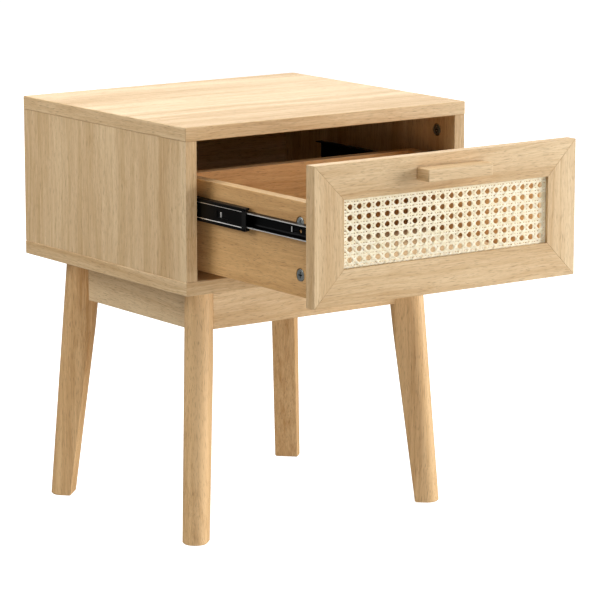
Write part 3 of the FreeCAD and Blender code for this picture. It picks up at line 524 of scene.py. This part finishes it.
class CanePanel(bpy.types.Operator):
    """Cane webbing: pairs of strands up and across, with single diagonals both ways"""
    bl_idname = "nightstand.cane"
    bl_label = "Woven cane"

    # How far a strand's middle stands proud, how thick it is, and its pieces from hole to hole.
    CREST = 0.16 * MM
    THICK = 0.35 * MM
    STEPS = 4
    # Each kind of strand's level before the panel's middle, and the height of its wave.
    UPRIGHT, UPRIGHT_WAVE = -0.42 * MM, 0.1 * MM
    LEVEL, LEVEL_WAVE = 0.1 * MM, 0.2 * MM
    DIAGONAL, DIAGONAL_WAVE = 0.05 * MM, 0.35 * MM
    # Half the distance between the strands of a pair, across and up.
    HALF_PAIR_X, HALF_PAIR_Z = 1.95 * MM, 1.65 * MM
    # Where the web was cut: its middle line off the panel's, and its top holes below the rail.
    OFF_MIDDLE, TOP_HOLES = 1.8 * MM, 9.4 * MM
    COLUMNS, ROWS = range(-13, 14), range(-9, 3)

    def strand(self, bm, layer, start, end, level, wave, phase):
        """One strand from start to end in the panel's plane, arched across its width."""
        settings = bpy.context.scene.nightstand_cane
        run = end - start
        cells = max(1, round(run.length / settings.pitch_up))
        steps = cells * self.STEPS
        made = bmesh.ops.create_grid(bm, x_segments=steps, y_segments=2, size=0.5)
        along, across = run.normalized(), Vector((-run.y, run.x)).normalized()
        faces = {face for vert in made["verts"] for face in vert.link_faces}
        for face in faces:
            for loop in face.loops:
                u, v = loop.vert.co.x, loop.vert.co.y
                loop[layer].uv = (u * run.length + start.x * 7, v * settings.strand + phase)
        for vert in made["verts"]:
            u, v = vert.co.x + 0.5, vert.co.y
            spot = start + along * (u * run.length) + across * (v * settings.strand)
            arch = self.CREST * (1 - abs(v) * 2)
            height = level + wave * math.cos(2 * math.pi * (u * cells + phase)) + arch
            vert.co = (spot.x, -height, spot.y)

    def execute(self, context):
        settings = context.scene.nightstand_cane
        low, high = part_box("cane_panel")
        across, up = settings.pitch_across, settings.pitch_up
        middle_x = (low.x + high.x) / 2 + self.OFF_MIDDLE
        top_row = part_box("drawer_front_top_rail")[0].z - self.TOP_HOLES
        bm = bmesh.new()
        layer = bm.loops.layers.uv.new(GRAIN_MAP)
        for i in self.COLUMNS:
            for side in (-1, 1):
                x = middle_x + i * across + side * self.HALF_PAIR_X
                self.strand(bm, layer, Vector((x, low.z)), Vector((x, high.z)),
                            self.UPRIGHT, self.UPRIGHT_WAVE * side, 0.5)
        for j in self.ROWS:
            for side in (-1, 1):
                z = top_row + (j + 0.5) * up + side * self.HALF_PAIR_Z
                self.strand(bm, layer, Vector((low.x, z)), Vector((high.x, z)),
                            self.LEVEL, self.LEVEL_WAVE * side, 0.25)
        reach = (high.z - low.z) / up * across
        edge = 3 * across
        count = round((high.x - low.x + 2 * reach) / across)
        for k in range(-count, count):
            for lean in (-1, 1):
                foot = middle_x + (k + 0.5) * across
                shift = (low.z - (top_row + 0.5 * up)) / up * across
                x = foot + lean * shift
                end_x = x + lean * reach
                if max(x, end_x) < low.x - edge or min(x, end_x) > high.x + edge:
                    continue
                self.strand(bm, layer, Vector((x, low.z)), Vector((end_x, high.z)),
                            self.DIAGONAL, self.DIAGONAL_WAVE * lean, 0.0)
        for point, normal in (((low.x, 0, 0), (-1, 0, 0)), ((high.x, 0, 0), (1, 0, 0)),
                              ((0, 0, low.z), (0, 0, -1)), ((0, 0, high.z), (0, 0, 1))):
            bmesh.ops.bisect_plane(
                bm, geom=[*bm.verts, *bm.edges, *bm.faces], plane_co=point,
                plane_no=normal, clear_outer=True)
        bmesh.ops.recalc_face_normals(bm, faces=bm.faces)
        bmesh.ops.solidify(bm, geom=bm.faces, thickness=self.THICK)
        bmesh.ops.translate(bm, verts=bm.verts, vec=(0, (low.y + high.y) / 2, 0))
        finished("woven_cane", bm, "rattan_peel", "cane_panel")
        return {"FINISHED"}


def section(points, low_y, high_y):
    """A closed outline in the XZ plane, drawn out along Y."""
    bm = bmesh.new()
    face = bm.faces.new([bm.verts.new((x, low_y, z)) for x, z in points])
    drawn = bmesh.ops.extrude_face_region(bm, geom=[face], use_keep_orig=True)
    moved = [item for item in drawn["geom"] if isinstance(item, bmesh.types.BMVert)]
    bmesh.ops.translate(bm, verts=moved, vec=(0, high_y - low_y, 0))
    bmesh.ops.recalc_face_normals(bm, faces=bm.faces)
    return bm


def add_box(bm, low, high):
    """Add a box between two corners; returns its vertices."""
    made = bmesh.ops.create_cube(bm, size=1)["verts"]
    bmesh.ops.scale(bm, verts=made, vec=[abs(b - a) for a, b in zip(low, high)])
    bmesh.ops.translate(bm, verts=made, vec=[(a + b) / 2 for a, b in zip(low, high)])
    return made


def slot_faces(bm, x, low_y, high_y, half, middle_z):
    """Cut a web's face at x so that one face is exactly a slot, and return that face."""
    for point, normal in (((0, low_y, 0), (0, 1, 0)), ((0, high_y, 0), (0, 1, 0)),
                          ((0, 0, middle_z - half), (0, 0, 1)),
                          ((0, 0, middle_z + half), (0, 0, 1))):
        bmesh.ops.bisect_plane(
            bm, geom=[*bm.verts, *bm.edges, *bm.faces], plane_co=point, plane_no=normal)
    return [face for face in bm.faces
            if abs(face.calc_center_median().x - x) < 0.05 * MM and abs(face.normal.x) > 0.9
            and low_y < face.calc_center_median().y < high_y
            and abs(face.calc_center_median().z - middle_z) < half]


class Slides(bpy.types.Operator):
    """The rolled steel members of the two ball-bearing slides and their plastic ends"""
    bl_idname = "nightstand.slides"
    bl_label = "Drawer slides"

    WALL = 1.2 * MM
    # The middle member's web: its step, and where that starts and ends from the member's edge.
    STEP = 0.5 * MM
    RACE, FLOOR = 3.8 * MM, 4.6 * MM
    ROUNDED = 1.0 * MM
    SLOT_DEPTH = 0.7 * MM
    SLOT_HALF = 3.6 * MM
    TAB = 1.8 * MM
    # Where a slot starts and ends and where its tab stands, from the member's front end.
    MIDDLE_SLOT = (27 * MM, 49 * MM, 40 * MM)
    DRAWER_SLOT = (26 * MM, 36 * MM, 37 * MM)

    def tab_slot(self, bm, x, toward, front, slot, middle_z):
        """A punched slot in a web with a tab standing in it, the tab painted bright as a
        highlight.
        """
        low_y, high_y, tab_y = (front + place for place in slot)
        for face in slot_faces(bm, x, low_y, high_y, self.SLOT_HALF, middle_z):
            drawn = bmesh.ops.extrude_discrete_faces(bm, faces=[face])["faces"]
            bmesh.ops.translate(bm, verts=list({v for f in drawn for v in f.verts}),
                                vec=(toward * self.SLOT_DEPTH, 0, 0))
        made = add_box(bm, (x - toward * 0.15 * MM, tab_y, middle_z - self.SLOT_HALF * 0.8),
                       (x + toward * self.SLOT_DEPTH, tab_y + self.TAB,
                        middle_z + self.SLOT_HALF * 0.8))
        # Painted highlight: the tab takes the bright steel.
        for face in {f for v in made for f in v.link_faces}:
            face.material_index = 1

    def make_middle(self, side, sign):
        """The web is stepped back between its two races; the step's faces carry a painted
        highlight in bright steel.
        """
        node = f"{side}_slide_middle_member"
        low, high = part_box(node)
        web = low.x if sign < 0 else high.x
        flange = high.x if sign < 0 else low.x
        middle, half = (low.z + high.z) / 2, (high.z - low.z) / 2
        inner = half - self.WALL
        race, floor_half = half - self.RACE, half - self.FLOOR

        def at(depth, height):
            return web - sign * depth, middle + height

        reach = abs(flange - web)
        points = [at(reach, half), at(0, half), at(0, race), at(self.STEP, floor_half),
                  at(self.STEP, -floor_half), at(0, -race), at(0, -half), at(reach, -half),
                  at(reach, -inner), at(self.WALL, -inner), at(self.WALL, -race - self.STEP),
                  at(self.STEP + self.WALL, -floor_half - self.STEP),
                  at(self.STEP + self.WALL, floor_half + self.STEP),
                  at(self.WALL, race + self.STEP), at(self.WALL, inner), at(reach, inner)]
        bm = section(points, low.y, high.y)
        # Painted highlight: the step's faces take the bright steel.
        for face in bm.faces:
            centre = face.calc_center_median()
            if abs(abs(centre.z - middle) - (race + floor_half) / 2) < 0.1 * MM and \
                    abs(centre.x - at(self.STEP / 2, 0)[0]) < 0.3 * MM:
                face.material_index = 1
        corners = [edge for edge in bm.edges
                   if abs(edge.verts[0].co.y - edge.verts[1].co.y) > 0.1
                   and all(abs(v.co.x - web) < 0.01 * MM and abs(abs(v.co.z - middle) - half)
                           < 0.01 * MM for v in edge.verts)]
        bmesh.ops.bevel(bm, geom=corners, offset=self.ROUNDED, offset_type="OFFSET", segments=4,
                        profile=0.5, affect="EDGES", material=-1)
        self.tab_slot(bm, at(self.STEP, 0)[0], -sign, low.y, self.MIDDLE_SLOT, middle)
        piece = finished(f"{node}_steel", bm, "black_zinc_steel", node)
        piece.data.materials.append(finish("bare_steel_edge"))

    def make_drawer_member(self, side, sign):
        """A channel whose flanges' end faces carry a painted highlight in bright steel."""
        node = f"{side}_slide_drawer_member"
        low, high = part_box(node)
        open_x = low.x if sign < 0 else high.x
        web_x = (high.x if sign < 0 else low.x) + sign * self.WALL
        bm = copied(node)
        # Painted highlight: the flanges' end faces take the bright steel.
        for face in bm.faces:
            if abs(face.calc_center_median().x - open_x) < 0.05 * MM and abs(face.normal.x) > 0.9:
                face.material_index = 1
        self.tab_slot(bm, web_x, -sign, low.y, self.DRAWER_SLOT, (low.z + high.z) / 2)
        piece = finished(f"{node}_steel", bm, "black_zinc_steel", node)
        piece.data.materials.append(finish("bare_steel_edge"))

    def make_bumper(self, side, sign):
        """A plastic end cap with a rounded lug above and below."""
        node = f"{side}_slide_bumper"
        low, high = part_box(node)
        web = low.x if sign < 0 else high.x
        middle, half = (low.z + high.z) / 2, (high.z - low.z) / 2
        cap, lip, arm = 1.7 * MM, 0.6 * MM, 2.6 * MM
        lug, lug_depth, arm_start = 1.9 * MM, 3.6 * MM, 3.4 * MM
        bm = bmesh.new()
        add_box(bm, (web, low.y, middle - half + lip),
                (web - sign * cap, high.y, middle + half - lip))
        for up in (-1, 1):
            edge = middle + up * half
            add_box(bm, (web, low.y + arm_start, edge),
                    (web - sign * (high.x - low.x), high.y, edge - up * arm))
        ease_edges(bm, 0.35 * MM, 0)
        for up in (-1, 1):
            turn = Matrix.Rotation(math.pi / 2, 4, "Y")
            place = Matrix.Translation((web - sign * lug_depth / 2, low.y + lug,
                                        middle + up * (half - lug)))
            made = bmesh.ops.create_cone(
                bm, cap_ends=True, segments=24, radius1=lug, radius2=lug, depth=lug_depth,
                matrix=place @ turn)["verts"]
            rims = {e for v in made for e in v.link_edges if e.calc_face_angle() > 1}
            bmesh.ops.bevel(bm, geom=list(rims), offset=0.4 * MM, offset_type="OFFSET",
                            segments=2, profile=0.5, affect="EDGES", material=-1)
        finished(f"{node}_plastic", bm, "black_nylon", node)

    def execute(self, context):
        for side, sign in zip(SIDES, (-1, 1)):
            node = f"{side}_slide_cabinet_member"
            bm = copied(node)
            ease_edges(bm, 0.45 * MM, 30 * MM)
            finished(f"{node}_steel", bm, "black_zinc_steel", node)
            self.make_middle(side, sign)
            self.make_drawer_member(side, sign)
            self.make_bumper(side, sign)
            dress((f"{side}_slide_outer_balls", f"{side}_slide_inner_balls"))
        return {"FINISHED"}


class Fittings(bpy.types.Operator):
    """Cam locks, bolts, dowels, nuts, pins and screws"""
    bl_idname = "nightstand.fittings"
    bl_label = "Fittings"

    CAMS = ("cabinet_cam_locks", "drawer_cam_locks")
    SLOTS = ("zinc_alloy", "zinc_plated_steel", "dowel_beech")
    SLIDE_SCREWS = ("slide_cabinet_screws", "slide_drawer_screws")
    SHRINK = 0.87
    RECESS_REACH = 4.2 * MM

    def make_cams(self, node):
        """Die-cast discs, loose in their holes, with soft rims and painted shade in the cross
        recess. The discs are one mesh, so each is found by following its edges and shrunk on its
        own."""
        bm = copied(node)
        left = set(bm.verts)
        while left:
            disc, ahead = set(), [left.pop()]
            while ahead:
                vert = ahead.pop()
                disc.add(vert)
                near = {edge.other_vert(vert) for edge in vert.link_edges} & left
                left -= near
                ahead += near
            low, high = (Vector(pick(v.co[i] for v in disc) for i in range(3))
                         for pick in (min, max))
            middle = (low + high) / 2
            # Painted shade: the faces inside the cross recess, except the disc's end faces, take
            # the dark coat.
            for face in {f for v in disc for f in v.link_faces}:
                spot = face.calc_center_median()
                inside = (spot - middle).yz.length < self.RECESS_REACH
                at_end = min(abs(spot.x - low.x), abs(spot.x - high.x)) < 0.01 * MM
                face.material_index = int(inside and not at_end)
            bmesh.ops.scale(bm, verts=list(disc), vec=(1, self.SHRINK, self.SHRINK),
                            space=Matrix.Translation(-middle))
        rims = [edge for edge in bm.edges
                if edge.calc_face_angle() > 1 and not any(f.material_index
                                                          for f in edge.link_faces)]
        bmesh.ops.bevel(bm, geom=rims, offset=0.4 * MM, offset_type="OFFSET", segments=2,
                        profile=0.5, affect="EDGES", material=-1)
        piece = finished(f"{node}_zinc", bm, "zinc_die_casting", node)
        piece.data.materials.append(finish("driver_recess"))

    def execute(self, context):
        for node in self.CAMS:
            self.make_cams(node)
        dress([node for node, slot in SLOT_OF.items()
               if slot in self.SLOTS and node not in self.CAMS])
        dress(self.SLIDE_SCREWS)
        return {"FINISHED"}


class Stage(bpy.types.Operator):
    """Pale floor, soft studio light and the camera"""
    bl_idname = "nightstand.stage"
    bl_label = "Stage"

    # The camera's place in metres, and how far it looks down and turns right of +Y, in degrees.
    PLACE = (-2.1779, -3.1321, 0.9814)
    TILT = 10.951
    HEADING = 35.857
    AIM = Vector((0, -0.2, 0.4))
    FLOOR_HALF = 15
    # Each light's name, power setting, place and size in metres.
    LIGHTS = (
        ("right", "right_power", (2.3, -1.6, 0.8), 1.7),
        ("low", "low_power", (-1.0, -3.2, 0.10), 1.1),
        ("bounce", "bounce_power", (-0.2, -0.9, -0.9), 2.0),
        ("top", "top_power", (-0.3, 0.1, 2.3), 1.8),
        ("left", "left_power", (-2.1, 1.0, 1.4), 1.4),
        ("backdrop", "back_power", (2.2, 3.1, 1.45), 1.9),
    )

    def make_floor(self, scene):
        """A pale, evenly lit floor. The bounce light below it sends up its light."""
        bm = bmesh.new()
        bmesh.ops.create_grid(bm, x_segments=1, y_segments=1, size=self.FLOOR_HALF)
        mesh = bpy.data.meshes.new("floor")
        bm.to_mesh(mesh)
        bm.free()
        floor = bpy.data.objects.new("floor", mesh)
        scene.collection.objects.link(floor)
        floor.visible_diffuse = False
        floor.visible_glossy = False
        floor.visible_shadow = False
        made, tree = new_material("white_acrylic_light_table")
        surface(tree, {
            "Base Color": (*linear("#B4B4B3"), 1), "Roughness": 0.9,
            "Emission Color": (1, 1, 1, 1), "Emission Strength": 1.0})
        mesh.materials.append(made)

    def make_lights(self, scene):
        """Large soft lights round the object, aimed at its middle."""
        world = bpy.data.worlds.new("Studio")
        world.use_nodes = True
        glow = world.node_tree.nodes["Background"]
        glow.inputs["Color"].default_value = (1, 1, 1, 1)
        glow.inputs["Strength"].default_value = scene.nightstand_stage.ambient
        scene.world = world
        for name, power, place, size in self.LIGHTS:
            light = bpy.data.lights.new(name, "AREA")
            light.energy = getattr(scene.nightstand_stage, power)
            light.size = size
            lamp = bpy.data.objects.new(name, light)
            lamp.location = place
            lamp.rotation_euler = (self.AIM - lamp.location).to_track_quat("-Z", "Y").to_euler()
            scene.collection.objects.link(lamp)

    def make_camera(self, scene):
        """A long lens at a three-quarter view from the front left."""
        camera = bpy.data.cameras.new("Camera")
        camera.lens = scene.nightstand_stage.lens
        camera.sensor_width = 36
        view = bpy.data.objects.new("Camera", camera)
        view.location = self.PLACE
        view.rotation_euler = (math.radians(90 - self.TILT), 0, math.radians(-self.HEADING))
        scene.collection.objects.link(view)
        scene.camera = view

    def execute(self, context):
        scene = context.scene
        self.make_floor(scene)
        self.make_lights(scene)
        self.make_camera(scene)
        scene.view_settings.view_transform = "Standard"
        return {"FINISHED"}


OPERATORS = (CabinetBoards, Aprons, Legs, DrawerFront, DrawerBox, Handle, CanePanel, Slides,
             Fittings, Stage)


class NightstandPanel(bpy.types.Panel):
    bl_idname = "VIEW3D_PT_nightstand"
    bl_label = "Nightstand"
    bl_space_type = "VIEW_3D"
    bl_region_type = "UI"
    bl_category = "Nightstand"

    def draw(self, context):
        for operator in OPERATORS:
            self.layout.operator(operator.bl_idname)


SETTINGS = (
    ("nightstand_oak", OakSettings),
    ("nightstand_cane", CaneSettings),
    ("nightstand_stage", StageSettings),
)


def register():
    for name, group in SETTINGS:
        bpy.utils.register_class(group)
        setattr(bpy.types.Scene, name, bpy.props.PointerProperty(type=group))
    for item in (*OPERATORS, NightstandPanel):
        bpy.utils.register_class(item)


def unregister():
    for item in reversed((*OPERATORS, NightstandPanel)):
        bpy.utils.unregister_class(item)
    for name, group in reversed(SETTINGS):
        delattr(bpy.types.Scene, name)
        bpy.utils.unregister_class(group)


def main():
    register()
    for operator in OPERATORS:
        group, name = operator.bl_idname.split(".")
        getattr(getattr(bpy.ops, group), name)()


if __name__ == "__main__":
    main()
